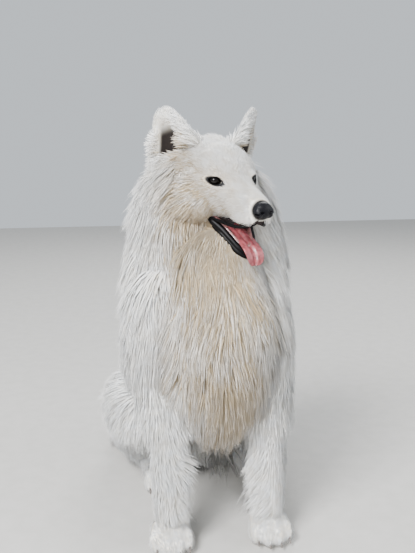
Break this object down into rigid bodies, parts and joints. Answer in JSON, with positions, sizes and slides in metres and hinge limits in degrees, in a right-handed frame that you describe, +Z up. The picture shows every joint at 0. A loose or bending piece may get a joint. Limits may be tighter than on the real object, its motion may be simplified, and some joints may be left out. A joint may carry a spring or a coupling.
{
  "type": "samoyed",
  "caption": "Life-size still model of a samoyed that sits and pants, with its head turned to its left and its plumed tail laid along the floor.",
  "frame": {"origin": "centre of the model's bounding box at floor level", "axes": "+Z up, the dog's chest faces -Y, and its own left side is +X"},
  "size_m": [0.3792, 0.6232, 0.7363],
  "materials": {
    "coat": "long white fur",
    "nose_skin": "moist black skin",
    "tongue_skin": "moist pink",
    "eye_surface": "glossy dark brown"
  },
  "bodies": {
    "root": {"head": "coat", "jaw": "coat", "nose": "nose_skin", "tongue": "tongue_skin", "eye_left": "eye_surface", "eye_right": "eye_surface", "ear_left": "coat", "ear_right": "coat", "neck": "coat", "chest": "coat", "torso": "coat", "foreleg_left": "coat", "foreleg_right": "coat", "forepaw_left": "coat", "forepaw_right": "coat", "thigh_left": "coat", "thigh_right": "coat", "hind_foot_left": "coat", "hind_foot_right": "coat", "tail": "coat"}
  },
  "joints": []
}
